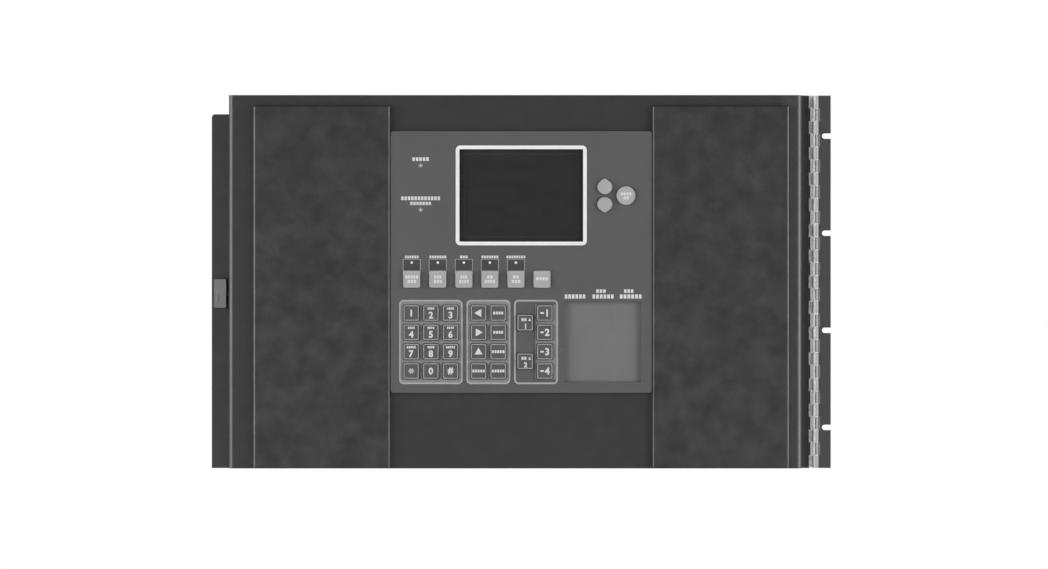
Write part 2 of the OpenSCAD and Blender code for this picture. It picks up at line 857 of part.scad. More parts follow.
module latch_slider() {
    grip_back_y = flange_y - latch_clearance;
    grip_front_y = flange_y - grip_rise;
    hook_t = 3;
    hook_y = flange_back_y + housing_depth + 0.5;
    body_back_y = flange_back_y + housing_depth - housing_t - latch_clearance;
    color("#6c6c6c")
    union() {
        difference() {
            stand(grip_front_y, grip_back_y)
                translate([grip_x + grip_w / 2, grip_z])
                    rounded_rect(grip_w, grip_h, 1);
            // Thumb groove
            translate([grip_x + grip_w / 2 - 1.5, grip_front_y - cut, grip_z - grip_h / 2 + 4])
                cube([0.6, cut + 0.5, 10]);
        }
        // Body through the flange's window, and the arm through the housing's back
        translate([slider_x, grip_back_y, grip_z - slider_h / 2]) {
            cube([slider_w, body_back_y - grip_back_y, slider_h]);
            cube([arm_w, hook_y - grip_back_y + hook_t, slider_h]);
        }
        // Hook behind the housing, towards the cabinet's catch
        translate([flange_x0 + 0.4, hook_y, grip_z - slider_h / 2 + 4])
            cube([grip_x + 3 - flange_x0, hook_t, slider_h - 8]);
    }
}

module latch_spring() {
    steps = 14 * spring_turns;
    sides = 6;
    ring = spring_wire / 2;
    length = spring_x1 - spring_x0 - spring_wire;
    y = flange_back_y + housing_depth / 2;
    points = [for (i = [0:steps], j = [0:sides - 1])
        let (turn = 360 * spring_turns * i / steps,
             round = 360 * j / sides,
             radius = spring_d / 2 + ring * cos(round))
        [spring_x0 + spring_wire / 2 + length * i / steps + ring * sin(round),
         y + radius * cos(turn), grip_z + radius * sin(turn)]];
    sides_faces = [for (i = [0:steps - 1], j = [0:sides - 1])
        let (a = i * sides + j, b = i * sides + (j + 1) % sides)
        each [[a, a + sides, b], [b, a + sides, b + sides]]];
    ends = [[for (j = [0:sides - 1]) j],
            [for (j = [sides - 1:-1:0]) steps * sides + j]];
    color("#c0c0c0")
    polyhedron(points, concat(sides_faces, ends));
}

// A key behind its cap: the skirt under the overlay, and the stem over the board
module key_stem() {
    stand(skirt_back_y, stem_end_y)
        circle(d = stem_d);
}

module square_key(k) {
    color(k[2] == status_v ? "#9a9a9a" : "#5c5c5c")
    translate([overlay_x + k[1], 0, overlay_z + k[2]]) {
        stand(key_y, skirt_y)
            rounded_rect(k[3], k[4], key_r);
        stand(skirt_y, skirt_back_y)
            rounded_rect(k[3] + 2 * skirt_reach, k[4] + 2 * skirt_reach, key_r);
        key_stem();
    }
}

module round_key(k) {
    color("#a0a0a0")
    translate([overlay_x + k[1], 0, overlay_z + k[2]]) {
        stand(key_y, skirt_y)
            round_outline(k, 0);
        stand(skirt_y, skirt_back_y)
            circle(k[3] + skirt_reach);
        key_stem();
    }
}

hinge_cabinet_leaf();
hinge_pin();
hinge_door_leaf();
door_pan();
left_blank_plate();
right_blank_plate();
flange_nuts();
keypad_overlay();
display_window();
label_card();
status_lenses();
lcd_module();
keypad_mat();
keypad_board();
status_leds();
board_standoffs();
board_screws();
controller_board();
terminal_blocks();
ribbon_cable();
sounder();
rear_cover();
latch_housing();
latch_slider();
latch_spring();
for (k = SQUARE_KEYS)
    square_key(k);
for (k = ROUND_KEYS)
    round_key(k);
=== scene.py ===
"""Finishes and small pieces for the swing-out operator door of a fire alarm control panel."""

import json
import math

import bmesh
import bpy
from bpy.props import FloatProperty, FloatVectorProperty, PointerProperty
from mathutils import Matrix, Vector
from mathutils.geometry import tessellate_polygon


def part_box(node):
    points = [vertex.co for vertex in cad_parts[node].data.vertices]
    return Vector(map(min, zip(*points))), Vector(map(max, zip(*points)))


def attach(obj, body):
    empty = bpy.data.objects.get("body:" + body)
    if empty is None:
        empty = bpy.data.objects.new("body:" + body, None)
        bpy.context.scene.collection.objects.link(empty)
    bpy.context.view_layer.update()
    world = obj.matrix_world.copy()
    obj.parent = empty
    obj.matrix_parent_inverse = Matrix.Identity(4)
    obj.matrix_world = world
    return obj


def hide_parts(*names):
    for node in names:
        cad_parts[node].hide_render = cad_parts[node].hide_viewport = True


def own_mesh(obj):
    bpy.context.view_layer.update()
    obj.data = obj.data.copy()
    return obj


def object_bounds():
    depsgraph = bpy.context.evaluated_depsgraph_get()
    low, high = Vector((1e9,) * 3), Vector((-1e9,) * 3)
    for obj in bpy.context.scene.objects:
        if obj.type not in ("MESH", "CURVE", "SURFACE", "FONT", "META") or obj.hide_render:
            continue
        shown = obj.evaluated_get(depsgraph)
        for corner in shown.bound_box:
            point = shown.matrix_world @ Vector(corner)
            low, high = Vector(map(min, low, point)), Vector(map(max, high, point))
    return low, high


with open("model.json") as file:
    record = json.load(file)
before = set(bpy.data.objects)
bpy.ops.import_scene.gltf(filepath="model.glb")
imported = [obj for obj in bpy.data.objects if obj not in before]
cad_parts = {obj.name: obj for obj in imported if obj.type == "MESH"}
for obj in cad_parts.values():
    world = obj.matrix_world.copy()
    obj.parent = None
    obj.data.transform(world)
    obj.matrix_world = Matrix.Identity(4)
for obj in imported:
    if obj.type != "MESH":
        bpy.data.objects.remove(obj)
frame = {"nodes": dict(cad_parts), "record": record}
CAD_BOUNDS = [list(corner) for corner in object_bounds()]

bl_info = {
    "name": "Fire Alarm Operator Door",
    "version": (1, 0, 0),
    "blender": (4, 5, 0),
    "location": "3D View > Sidebar > Alarm Door",
    "description": "Finishes, prints and small pieces for a fire alarm panel's operator door",
    "category": "Object",
}

MM = 0.001
BOX = {name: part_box(name) for name in frame["nodes"]}
OVERLAY_LOW = BOX["keypad_overlay"][0]
OVERLAY_FRONT = OVERLAY_LOW.y
PAN_LOW = BOX["door_pan"][0]
SHEET_BACK = BOX["display_window"][0].y + 1.5 * MM  # the back of the pan's face sheet
KEYS = sorted(name for name in frame["nodes"] if name.startswith("key_"))
# Where the painted light on the pan's two outer flanges starts, from X to X
LATCH_BEND = (PAN_LOW.x + 17.4 * MM, PAN_LOW.x + 18.4 * MM)
HINGE_BEND = (-43 * MM, -42 * MM)
EARTH_STUD_Z = PAN_LOW.z + 24 * MM
STUD_R = 2 * MM
BARREL_X = (BOX["hinge_pin"][0].x + BOX["hinge_pin"][1].x) / 2
BARREL_Y = (BOX["hinge_pin"][0].y + BOX["hinge_pin"][1].y) / 2
BARREL_R = BARREL_Y - BOX["hinge_cabinet_leaf"][0].y
KNUCKLES = 29  # of both leaves together, from the bottom up
KNUCKLE_PITCH = (BOX["hinge_cabinet_leaf"][1].z - BOX["hinge_cabinet_leaf"][0].z) / KNUCKLES
SKIRT = 1.1 * MM  # the hidden skirt passes a key's cap by this on each side
KEY_SINK = 0.05 * MM  # moulded face of a key, lowered by the thickness of its ink
COVER_SINK = 0.1 * MM  # the rear cover's face, lowered by the thickness of its sticker


# ---------------------------------------------------------------- sizes and colours


def linear(code):
    """An sRGB hex colour as a linear one."""
    channels = [int(code[i : i + 2], 16) / 255 for i in (1, 3, 5)]
    return [c / 12.92 if c <= 0.04045 else ((c + 0.055) / 1.055) ** 2.4 for c in channels]


def shade(colour, factor=1.0):
    """A colour, in sRGB hex or already linear, with its alpha and made lighter or darker."""
    return [c * factor for c in (linear(colour) if isinstance(colour, str) else colour)] + [1.0]


def length_property(name, default, description):
    """A length that the panel shows in the scene's units."""
    return FloatProperty(name=name, unit="LENGTH", min=0.0, precision=5, default=default,
                         description=description)


class DoorSizes(bpy.types.PropertyGroup):
    ink_thickness: length_property("Ink thickness", 0.05 * MM, "Thickness of the printed marks")
    group_line: length_property("Group line", 1.6 * MM,
                                "Width of the line printed round a group of keys")
    group_corner: length_property("Group corner", 4.5 * MM,
                                  "Outer corner radius of a key group's outline")
    display_frame: length_property("Display frame", 3.6 * MM,
                                   "Width of the white band round the display")
    key_line: length_property("Key line", 0.7 * MM, "Width of the line printed along a key's edge")
    digit_height: length_property("Digit height", 6.2 * MM, "Height of the digits on the keypad")
    edge_round: length_property("Key edge rounding", 0.35 * MM,
                                "Rounding along the edges of moulded keys")
    moulding_round: length_property("Moulding edge rounding", 0.3 * MM,
                                    "Rounding along the edges of the overlay and like mouldings")
    sheet_round: length_property("Sheet edge rounding", 0.2 * MM,
                                 "Rounding that deburring and paint give cut sheet edges")


def colour_property(name, code, description):
    """A colour that the panel shows as a swatch; its default is written as sRGB hex."""
    return FloatVectorProperty(name=name, subtype="COLOR", size=3, min=0.0, max=1.0,
                               default=linear(code), description=description)


class DoorColours(bpy.types.PropertyGroup):
    door: colour_property("Door", "#2d2d2d", "Powder coat of the pan")
    plates: colour_property("Blank plates", "#2f2f2f", "Powder coat of the plates")
    leaf: colour_property("Hinge leaf", "#383838", "Paint of the cabinet's hinge leaf")
    # The door's leaf has the cabinet leaf's paint, painted lighter here as painted light, since it
    # lies in shade in the groove by the pan's wall
    door_leaf: colour_property("Door leaf", "#4a4a4a", "Paint of the door's hinge leaf")
    overlay: colour_property("Overlay", "#4c4c4c", "Moulded overlay")
    keys: colour_property("Keys", "#4a4a4a", "Caps of the keypad's keys")
    status_keys: colour_property("Status keys", "#949494", "Caps of the status keys")
    round_keys: colour_property("Round keys", "#949494", "Caps of the round keys")
    ground: colour_property("Group ground", "#737373", "Printed ground of a key group")
    line: colour_property("Lines", "#949494", "Printed outlines")
    band_ink: colour_property("Display band", "#d4d4d4", "Printed band round the display")
    mark_ink: colour_property("Marks", "#c0c0c0", "Printed marks and legends")
    window: colour_property("Display window", "#222222", "Smoked window")
    lens: colour_property("Lenses", "#3e3e3e", "Smoked lenses")
    card: colour_property("Label card", "#606060", "Write-in card")
    latch: colour_property("Latch", "#6e6e6e", "Moulded latch grip")
    floor: colour_property("Floor", "#e8e8e6", "Studio floor")


# ---------------------------------------------------------------- materials


def add(tree, kind, inputs=None, output=0, **settings):
    """Adds a shader node, sets it up and links or fills its inputs; returns one of its outputs."""
    node = tree.nodes.new("ShaderNode" + kind)
    for name, value in settings.items():
        setattr(node, name, value)
    for name, value in (inputs or {}).items():
        socket = node.inputs[name]
        if isinstance(value, bpy.types.NodeSocket):
            tree.links.new(value, socket)
        else:
            socket.default_value = value
    return node.outputs[output]


def new_material(name, **values):
    """A material with one shader, whose even values are set on its own sockets; and its nodes."""
    made = bpy.data.materials.new(name)
    made.use_nodes = True
    shader = made.node_tree.nodes["Principled BSDF"]
    for socket, value in values.items():
        shader.inputs[socket.replace("_", " ")].default_value = value
    return made, made.node_tree


def blotch(tree, size, detail=2.0, stretch=(1.0, 1.0, 1.0)):
    """A pattern from 0 to 1 whose patches are about size across; stretch scales each axis."""
    where = add(tree, "TexCoord", output="Object")
    where = add(tree, "Mapping", {"Vector": where, "Scale": stretch})
    return add(tree, "TexNoise", {"Vector": where, "Scale": 1 / size, "Detail": detail})


def tint(tree, share, dark, light, start=0.3, end=0.7):
    """A colour that goes from dark to light as share goes from start to end."""
    mixed = add(tree, "MapRange", {"Value": share, "From Min": start, "From Max": end})
    # 6, 7 and 2 are the sockets that mix colours
    return add(tree, "Mix", {0: mixed, 6: dark, 7: light}, output=2, data_type="RGBA")


def lay(made, share, dark, light, ends=(0.3, 0.7), *, rough, gloss=None, relief=None):
    """Lays a finish on a material, whose colour and roughness follow share between its ends.

    Gloss is the share, start and end that the roughness follows, where it isn't the colour's.
    Relief is the share that the surface rises with, its depth in metres and its strength."""
    tree = made.node_tree
    shader = tree.nodes["Principled BSDF"]
    by, start, end = gloss or (share, 0.3, 0.7)
    roughness = add(tree, "MapRange", {"Value": by, "From Min": start, "From Max": end,
                                       "To Min": rough[0], "To Max": rough[1]})
    tree.links.new(tint(tree, share, dark, light, *ends), shader.inputs["Base Color"])
    tree.links.new(roughness, shader.inputs["Roughness"])
    if relief:
        height, depth, strength = relief
        bump = add(tree, "Bump", {"Height": height, "Distance": depth, "Strength": strength})
        tree.links.new(bump, shader.inputs["Normal"])
    return made


def powder_coat(name, colour, mottled, flange_light=1.0):
    """Polyester powder coat on steel: cured powder leaves a fine orange peel with soft, low gloss.

    The last argument is how much lighter the door's outer flanges are painted: painted light,
    where the lamps light them less than the door's face."""
    made, tree = new_material(name, Metallic=0.0, IOR=1.5, Specular_IOR_Level=0.35)
    mottle = blotch(tree, 16 * MM, detail=5)
    # Real grains of 0.3 mm would vanish at this distance, so they are drawn 1.1 mm wide
    grain = blotch(tree, 1.1 * MM, detail=3)
    base = tint(tree, mottle, shade(colour, 1 - mottled), shade(colour, 1 + mottled))
    # Painted light: the outer flanges are painted lighter, as the lamps light them less
    if flange_light != 1.0:
        where = add(tree, "TexCoord", output="Object")
        across = add(tree, "SeparateXYZ", {"Vector": where}, output="X")
        past = [add(tree, "MapRange",
                    {"Value": across, "From Min": bend[0], "From Max": bend[1],
                     "To Min": before, "To Max": 1 - before})
                for bend, before in ((LATCH_BEND, 1.0), (HINGE_BEND, 0.0))]
        outer = add(tree, "Math", dict(enumerate(past)), operation="MAXIMUM")
        pale = tint(tree, mottle, shade(colour, flange_light * (1 - mottled)),
                    shade(colour, flange_light * (1 + mottled)))
        base = tint(tree, outer, base, pale, 0.0, 1.0)
    return lay(made, grain, shade(colour, 0.86), base, (0.25, 0.5), rough=(0.4, 0.5),
               relief=(grain, 0.04 * MM, 0.4))


def moulded_plastic(name, colour, grain=0.8 * MM, rough=0.5):
    """Injection-moulded ABS from an etched tool: a matte, even grain with faint flow marks."""
    made, tree = new_material(name, Metallic=0.0, IOR=1.53, Specular_IOR_Level=0.35)
    # An etched grain is about 0.15 mm across; grain is coarser, so that it shows
    etched = blotch(tree, grain, detail=3)
    flow = blotch(tree, 40 * MM, detail=2)
    base = tint(tree, flow, shade(colour, 0.96), shade(colour, 1.04))
    return lay(made, etched, shade(colour, 0.92), base, (0.2, 0.5),
               rough=(rough - 0.05, rough + 0.08), relief=(etched, 0.02 * MM, 0.4))


def screen_ink(name, colour):
    """Screen-printed epoxy ink: thin and flat, a little uneven where the mesh let it through."""
    made, tree = new_material(name, Metallic=0.0, IOR=1.5)
    mesh_marks = blotch(tree, 0.7 * MM, detail=2)  # threads of 0.1 mm, drawn coarser to show
    return lay(made, mesh_marks, shade(colour, 0.88), shade(colour), (0.25, 0.55),
               rough=(0.5, 0.65))


def smoked_acrylic(name, colour):
    """Cast smoked acrylic: dark and glossy, with faint wiping haze."""
    made, tree = new_material(name, Metallic=0.0, IOR=1.49, Specular_IOR_Level=0.35)
    haze = blotch(tree, 22 * MM, detail=5, stretch=(1.0, 1.0, 2.2))
    return lay(made, haze, shade(colour, 0.96), shade(colour, 1.05), rough=(0.3, 0.42))


def uncoated_card(name, colour):
    """Uncoated card: fibres show as a faint, soft mottle."""
    made, tree = new_material(name, Metallic=0.0, IOR=1.45)
    # Fibres are 1 mm long but 0.03 mm wide, and are drawn wider to show
    fibres = blotch(tree, 1.2 * MM, detail=6, stretch=(1.0, 1.0, 0.4))
    cloud = blotch(tree, 30 * MM)
    base = tint(tree, cloud, shade(colour, 0.97), shade(colour, 1.05))
    return lay(made, fibres, shade(colour, 0.9), base, (0.25, 0.5), rough=(0.75, 0.9),
               relief=(fibres, 0.02 * MM, 0.3))


def rolled_steel(name, colour, rough=0.3, along=(1.0, 1.0, 0.06)):
    """Bare cold-rolled steel: fine lines along the rolling direction, and small dull patches."""
    made, tree = new_material(name, Metallic=1.0)
    # Rolling lines of 0.1 mm are drawn 0.9 mm wide, so that they show
    lines = blotch(tree, 0.9 * MM, detail=3, stretch=along)
    patches = blotch(tree, 9 * MM, detail=4)
    base = tint(tree, patches, shade(colour, 0.75), shade(colour))
    return lay(made, lines, shade(colour, 0.7), base, (0.25, 0.55),
               rough=(rough - 0.06, rough + 0.12), relief=(lines, 0.03 * MM, 0.35))


def worn_leaf(name, colour, side, first):
    """Painted hinge leaf with bare knuckles: phosphated steel, a dull grey crust that isn't shiny,
    with painted light and shade across each knuckle.

    Side is 1 for the leaf towards +X, and first is the number of the leaf's lowest knuckle."""
    made, tree = new_material(name, Metallic=0.0)
    root = BARREL_X + side * 5.5 * MM  # where the paint starts beside a knuckle of this leaf
    barrel_edge = BARREL_X + side * 3.4 * MM  # and where it starts between them
    lines = blotch(tree, 0.9 * MM, detail=3, stretch=(1.0, 1.0, 0.06))
    patches = blotch(tree, 5 * MM, detail=3)
    grain = blotch(tree, 1.1 * MM, detail=3)
    ragged = add(tree, "MapRange",
                 {"Value": blotch(tree, 3 * MM, detail=3), "From Min": 0.3, "From Max": 0.7,
                  "To Min": -0.3 * MM, "To Max": 0.3 * MM})
    where = add(tree, "TexCoord", output="Object")
    split = add(tree, "SeparateXYZ", {"Vector": where}).node.outputs
    lowest = BOX["hinge_cabinet_leaf"][0].z + first * KNUCKLE_PITCH
    height = add(tree, "Math", {0: split["Z"], 1: lowest}, operation="SUBTRACT")
    turn = add(tree, "Math", {0: height, 1: 2 * KNUCKLE_PITCH}, operation="DIVIDE")
    share = add(tree, "Math", {0: turn}, operation="FRACT")
    between_knuckles = add(tree, "Math", {0: share, 1: 0.5}, operation="GREATER_THAN")
    across = add(tree, "Math", {0: split["X"], 1: ragged}, operation="ADD")
    past_root, past_barrel = (
        add(tree, "MapRange",
            {"Value": across, "From Min": edge - side * fade, "From Max": edge + side * fade})
        for edge, fade in ((root, 0.25 * MM), (barrel_edge, 0.1 * MM))
    )
    beside = add(tree, "Math", {0: past_barrel, 1: between_knuckles},
                 operation="MULTIPLY")
    front = add(tree, "Math", {0: past_root, 1: beside}, operation="MAXIMUM")
    behind = add(tree, "MapRange",
                 {"Value": split["Y"], "From Min": -0.9 * MM, "From Max": -0.7 * MM})
    painted = add(tree, "Math", {0: front, 1: behind}, operation="MAXIMUM")
    # The bare steel is painted lighter on the left of each knuckle, as painted light where the
    # pan's wall shades it, and darker on the right, as painted shade that damps the right strip
    # light's highlight
    steel = tint(tree, across, shade("#f6f6f6"), shade("#6e6e6e"),
                 BARREL_X - 1.2 * MM, BARREL_X + 1.2 * MM)
    worn_and_painted_light = tint(tree, patches, shade("#8c8c8c"), steel, 0.15, 0.35)
    bare = tint(tree, lines, shade("#6c6c6c"), worn_and_painted_light, 0.15, 0.4)
    paint = tint(tree, grain, shade(colour, 0.85), shade(colour, 1.08))
    return lay(made, painted, bare, paint, (0.0, 1.0), rough=(0.6, 0.5),
               gloss=(painted, 0.0, 1.0), relief=(lines, 0.03 * MM, 0.3))


def bright_zinc(name):
    """Bright zinc plate: thin and shiny over turned steel, clouded where it was handled."""
    made, tree = new_material(name, Metallic=1.0)
    cloud = blotch(tree, 2.5 * MM, detail=4)
    return lay(made, cloud, shade("#b4b6b8", 0.8), shade("#c6c8ca"),
               rough=(0.22, 0.4))


def galvanised_sheet(name):
    """Hot-dipped galvanised sheet: zinc crystals make a patchwork of grey spangle."""
    made, tree = new_material(name, Metallic=0.85)
    where = add(tree, "TexCoord", output="Object")
    cells = add(tree, "TexVoronoi", {"Vector": where, "Scale": 1 / (6 * MM)},
                output="Color")
    crystal = add(tree, "SeparateColor", {"Color": cells})
    haze = blotch(tree, 2 * MM, detail=4)
    zinc = "#97999b"
    base = tint(tree, crystal, shade(zinc), shade("#a6a9ab"), 0.0, 1.0)
    return lay(made, haze, shade(zinc, 0.85), base, (0.2, 0.5), rough=(0.42, 0.52),
               gloss=(crystal, 0.0, 1.0), relief=(crystal, 0.02 * MM, 0.3))


def solder_mask(name):
    """Glass-epoxy board under green solder mask: copper tracks show as lighter lines."""
    made, tree = new_material(name, IOR=1.5, Metallic=0.0)
    where = add(tree, "TexCoord", output="Object")
    upright = add(tree, "Mapping", {"Vector": where, "Rotation": (math.pi / 2, 0.0, 0.0)})
    tracks = add(tree, "TexBrick", {
        "Vector": upright, "Scale": 1.0, "Brick Width": 11 * MM, "Row Height": 2.4 * MM,
        "Mortar Size": 0.35 * MM, "Color1": shade("#0f4526"),
        "Color2": shade("#0d3d22"), "Mortar": shade("#2c6b3f"),
    })
    weave = blotch(tree, 0.8 * MM, detail=2)  # glass yarns of 0.4 mm, drawn coarser to show
    return lay(made, weave, shade("#0b331d"), tracks, (0.2, 0.45), rough=(0.28, 0.4),
               relief=(tracks, 0.03 * MM, 0.4))


def ribbed_pvc(name, colour):
    """Flat ribbon of PVC: side-by-side conductors show as fine ribs along its run."""
    made, tree = new_material(name, Metallic=0.0, IOR=1.53)
    conductors = 1.27 * MM
    waves_per_unit = 3.2  # that the wave texture draws at a scale of 1, about
    where = add(tree, "TexCoord", output="Object")
    ribs = add(tree, "TexWave",
               {"Vector": where, "Scale": 1 / conductors / waves_per_unit, "Distortion": 0.0},
               bands_direction="X")
    # Darker in the grooves between conductors: painted shade, beside the real ribs of the relief
    return lay(made, ribs, shade(colour, 0.7), shade(colour), (0.0, 0.6), rough=(0.5, 0.4),
               gloss=(ribs, 0.0, 1.0), relief=(ribs, 0.3 * MM, 0.5))


def clear_epoxy(name):
    """Clear cast epoxy of an unlit lamp: pale, with a cloudy core."""
    made, tree = new_material(name, Metallic=0.0, IOR=1.55)
    core = blotch(tree, 1.5 * MM, detail=2)
    return lay(made, core, shade("#c8c8c4"), shade("#e6e6e2"),
               rough=(0.15, 0.3))


def make_finishes(colours):
    """Every material, by the record's slot or by the piece that it is for."""
    turned_all_round = (1.0, 1.0, 1.0)
    dusty, shiny = 0.75, 0.42
    return {
        "hinge_leaf_paint": worn_leaf("painted_leaf_cabinet", colours.leaf, 1, 1),
        "hinge_steel": rolled_steel("cold_rolled_steel", "#bdbdbd", rough=0.4),
        # Lighter than the cabinet leaf's paint: painted light for the door leaf's shaded groove
        "door_leaf": worn_leaf("painted_leaf_door", colours.door_leaf, -1, 0),
        # Dark steel; on the knuckles' seams it is painted shade
        "oily_steel": rolled_steel("dark_steel_and_painted_seam_shade", "#2b2b2b", rough=0.5),
        # The door's outer flanges are painted 1.4 times lighter as painted light
        "door_paint": powder_coat("powder_coat_door", colours.door, 0.1, flange_light=1.4),
        "plate_paint": powder_coat("powder_coat_plates", colours.plates, 0.35),
        "zinc_fastener": bright_zinc("zinc_plated_steel"),
        "overlay_plastic": moulded_plastic("moulded_abs_overlay", colours.overlay),
        "display_glass": smoked_acrylic("smoked_acrylic_window", colours.window),
        "card": uncoated_card("uncoated_card", colours.card),
        "lens_plastic": smoked_acrylic("smoked_acrylic_lens", colours.lens),
        # Pressed mill-finish aluminium: a soft sheen with drawing lines across it
        "module_metal": rolled_steel("pressed_aluminium", "#a6a7a9", 0.38, (0.06, 1, 1)),
        # Compression-moulded silicone: dead matte, picks up a little dust
        "silicone": moulded_plastic("moulded_silicone", "#4a4a4a", 1.5 * MM, dusty),
        "circuit_board": solder_mask("solder_masked_laminate"),
        "led_plastic": clear_epoxy("clear_epoxy"),
        "brass": rolled_steel("turned_brass", "#b79a58", 0.3, turned_all_round),
        "terminal_plastic": moulded_plastic("moulded_polyamide_green", "#2f6b40"),
        "ribbon_plastic": ribbed_pvc("extruded_pvc_ribbon", "#9c9c98"),
        "sounder_plastic": moulded_plastic("moulded_polyester_black", "#161616"),
        "cover_steel": galvanised_sheet("galvanised_sheet"),
        "latch_plastic_dark": moulded_plastic("moulded_acetal_black", "#2a2a2a",
                                              rough=shiny),
        "latch_plastic": moulded_plastic("moulded_acetal_grey", colours.latch, rough=shiny),
        "spring_steel": rolled_steel("drawn_spring_wire", "#a8a8a8", 0.3,
                                     turned_all_round),
        "key_plastic": moulded_plastic("moulded_abs_keys", colours.keys, grain=0.6 * MM),
        "status_key_plastic": moulded_plastic("moulded_abs_status_keys", colours.status_keys),
        "round_key_plastic": moulded_plastic("moulded_abs_round_keys", colours.round_keys),
        "ground_ink": screen_ink("printed_ink_ground", colours.ground),
        "line_ink": screen_ink("printed_ink_lines", colours.line),
        "band_ink": screen_ink("printed_ink_band", colours.band_ink),
        "mark_ink": screen_ink("printed_ink_marks", colours.mark_ink),
        "card_ink": screen_ink("printed_ink_card_lines", "#626262"),
        "sticker": uncoated_card("polyester_label_stock", "#d8d8d4"),
        "black_ink": screen_ink("printed_ink_black", "#202020"),
    }


FINISH = {}  # filled by the first operator


# ---------------------------------------------------------------- shapes


def rounded(x0, z0, x1, z1, radius, steps=6):
    """A rectangle with round corners, as points in X and Z."""
    corners = [(x1 - radius, z0 + radius, -90), (x1 - radius, z1 - radius, 0),
               (x0 + radius, z1 - radius, 90), (x0 + radius, z0 + radius, 180)]
    return [
        (x + radius * math.cos(math.radians(start + 90 * i / steps)),
         z + radius * math.sin(math.radians(start + 90 * i / steps)))
        for x, z, start in corners
        for i in range(steps + 1)
    ]


def bar(x, z, width, height):
    """A plain rectangle about its centre."""
    return [(x - width / 2, z - height / 2), (x + width / 2, z - height / 2),
            (x + width / 2, z + height / 2), (x - width / 2, z + height / 2)]


def circle(x, z, radius, steps=32):
    """A round outline about its centre."""
    turns = [2 * math.pi * i / steps for i in range(steps)]
    return [(x + radius * math.cos(a), z + radius * math.sin(a)) for a in turns]


def turned(points, x, z, degrees):
    """Points turned about a centre."""
    c, s = math.cos(math.radians(degrees)), math.sin(math.radians(degrees))
    return [(x + (px - x) * c - (pz - z) * s, z + (px - x) * s + (pz - z) * c)
            for px, pz in points]


def word(x, z, width, height):
    """A row of small blocks that stands for a word."""
    letter = 0.72 * height
    gap = 0.24 * height
    count = max(1, round((width + gap) / (letter + gap)))
    step = width / count
    return [[bar(x - width / 2 + step * (i + 0.5), z, step - gap, height)] for i in range(count)]


NO_AREA = 1e-14  # square metres: a sliver that would be a stray face


def add_flat(bm, loops, front, back):
    """Adds a flat shape with holes, drawn in X and Z, between two depths."""
    flat = [[Vector((x, z, 0)) for x, z in loop] for loop in loops]
    points = [p for loop in flat for p in loop]
    fronts = [bm.verts.new((p.x, front, p.y)) for p in points]
    backs = [bm.verts.new((p.x, back, p.y)) for p in points]
    for a, b, c in tessellate_polygon(flat):
        u, v = points[b] - points[a], points[c] - points[a]
        if abs(u.x * v.y - u.y * v.x) < NO_AREA:
            continue
        bm.faces.new((fronts[a], fronts[b], fronts[c]))
        bm.faces.new((backs[c], backs[b], backs[a]))
    first = 0
    for loop in flat:
        for i in range(len(loop)):
            j = (i + 1) % len(loop)
            bm.faces.new((fronts[first + i], fronts[first + j],
                          backs[first + j], backs[first + i]))
        first += len(loop)


def stamp(bm, shapes, front, depth):
    """Adds flat shapes, each a list of loops, of one depth behind their front."""
    for loops in shapes:
        add_flat(bm, loops, front, front + depth)


def wind(bm, rings):
    """Joins rings of points into one closed tube or thread."""
    rings = [[bm.verts.new(point) for point in ring] for ring in rings]
    for a, b in zip(rings, rings[1:]):
        for i in range(len(a)):
            j = (i + 1) % len(a)
            bm.faces.new((a[i], a[j], b[j], b[i]))
    bm.faces.new(rings[0])
    bm.faces.new(rings[-1][::-1])


def add_glyph(bm, text, x, z, height, front, depth):
    """Adds a digit in the plain built-in type, facing the door's front."""
    digit_share = 0.7  # of the type's size that a digit is high
    bolder = 0.035  # of its size that each edge is moved outwards
    curve = bpy.data.curves.new("glyph", "FONT")
    curve.body = text
    curve.size = height / digit_share
    curve.offset = bolder * curve.size
    curve.extrude = depth / 2
    curve.resolution_u = 3
    holder = bpy.data.objects.new("glyph", curve)
    bpy.context.scene.collection.objects.link(holder)
    bpy.context.view_layer.update()
    drawn = holder.evaluated_get(bpy.context.evaluated_depsgraph_get())
    mesh = bpy.data.meshes.new_from_object(drawn)
    low = Vector((min(v.co.x for v in mesh.vertices), min(v.co.y for v in mesh.vertices)))
    high = Vector((max(v.co.x for v in mesh.vertices), max(v.co.y for v in mesh.vertices)))
    middle = (low + high) / 2
    for vertex in mesh.vertices:
        px, py, pz = vertex.co
        vertex.co = (x + px - middle.x, front + depth / 2 - pz, z + py - middle.y)
    bm.from_mesh(mesh)
    bpy.data.objects.remove(holder)
    bpy.data.curves.remove(curve)
    bpy.data.meshes.remove(mesh)


def make_piece(bm, name, body, finish, smooth=False):
    """Turns a bmesh into a piece that rides on a body."""
    bmesh.ops.recalc_face_normals(bm, faces=bm.faces)
    mesh = bpy.data.meshes.new(name)
    bm.to_mesh(mesh)
    bm.free()
    if smooth:
        mesh.shade_smooth()
    mesh.materials.append(FINISH[finish])
    piece = bpy.data.objects.new(name, mesh)
    bpy.context.scene.collection.objects.link(piece)
    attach(piece, body)
    return piece


def print_on(name, shapes, face_y, thickness, body, finish):
    """Prints flat shapes, each a list of loops, on a face that looks forwards."""
    bm = bmesh.new()
    stamp(bm, shapes, face_y - thickness, thickness)
    return make_piece(bm, name, body, finish)


def cap(key):
    """The cap of a key, without its skirt: x0, z0, x1, z1."""
    low, high = BOX[key]
    return low.x + SKIRT, low.z + SKIRT, high.x - SKIRT, high.z - SKIRT


def centre(key):
    """The middle of a key, in X and Z."""
    low, high = BOX[key]
    return (low.x + high.x) / 2, (low.z + high.z) / 2


def face(key):
    """The depth of a key's face under its ink."""
    return BOX[key][0].y + KEY_SINK


